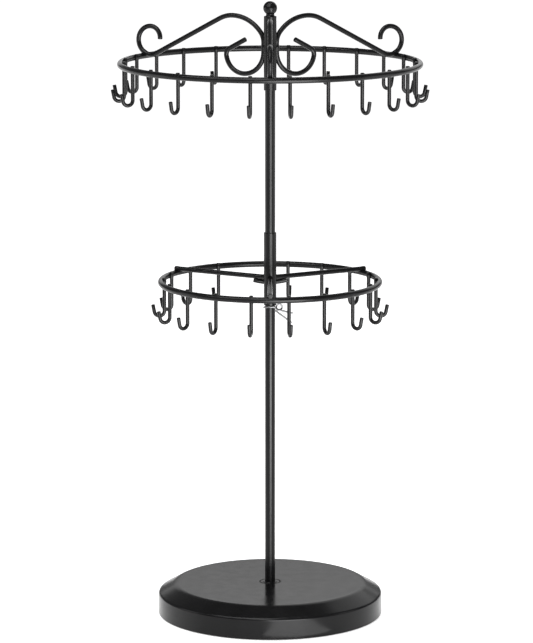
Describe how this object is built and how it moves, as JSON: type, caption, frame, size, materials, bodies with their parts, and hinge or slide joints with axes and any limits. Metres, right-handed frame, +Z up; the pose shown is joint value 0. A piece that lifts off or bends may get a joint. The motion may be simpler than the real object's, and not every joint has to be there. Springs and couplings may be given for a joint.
{
  "type": "necklace holder",
  "caption": "Revolving necklace stand: wire rings of hooks turn on a pole over a weighted round base, with scroll arms above and a sliding spring clip under the lower ring.",
  "frame": {"origin": "on the table, under the middle of the pole", "axes": "+Z up along the pole; -Y towards the viewer of the picture, where the front scroll points"},
  "size_m": [0.2542, 0.2542, 0.5022],
  "materials": {
    "black_paint": "gloss",
    "zinc_steel": "satin",
    "spring_steel": "polished",
    "cement": "matte",
    "foam": "matte"
  },
  "bodies": {
    "stand": {"base_cover": "black_paint", "base_weight": "cement", "base_pad": "foam", "base_screw": "zinc_steel", "pole_foot_plug": "zinc_steel", "pole_lower": "black_paint", "pole_coupler": "zinc_steel", "pole_upper": "black_paint", "pole_top_plug": "zinc_steel", "finial": "black_paint"},
    "upper_tier": {"upper_sleeve": "black_paint", "upper_sleeve_cap": "black_paint", "scroll_front": "black_paint", "scroll_right": "black_paint", "scroll_left": "black_paint", "upper_ring": "black_paint", "upper_hooks": "black_paint"},
    "clip": {"spring_clip": "spring_steel"},
    "lower_tier": {"lower_sleeve": "black_paint", "spoke_front": "black_paint", "spoke_right": "black_paint", "spoke_left": "black_paint", "lower_brace": "black_paint", "lower_ring": "black_paint", "lower_hooks": "black_paint"}
  },
  "joints": [
    {"name": "upper_tier_turn", "type": "hinge", "parent": "stand", "child": "upper_tier", "pos_m": [0, 0, 0.485], "axis": [0, 0, 1], "continuous": true},
    {"name": "clip_slide", "type": "slide", "parent": "stand", "child": "clip", "axis": [0, 0, 1], "range_m": [-0.205, 0.11]},
    {"name": "lower_tier_turn", "type": "hinge", "parent": "clip", "child": "lower_tier", "pos_m": [0, 0, 0.256], "axis": [0, 0, 1], "continuous": true}
  ]
}
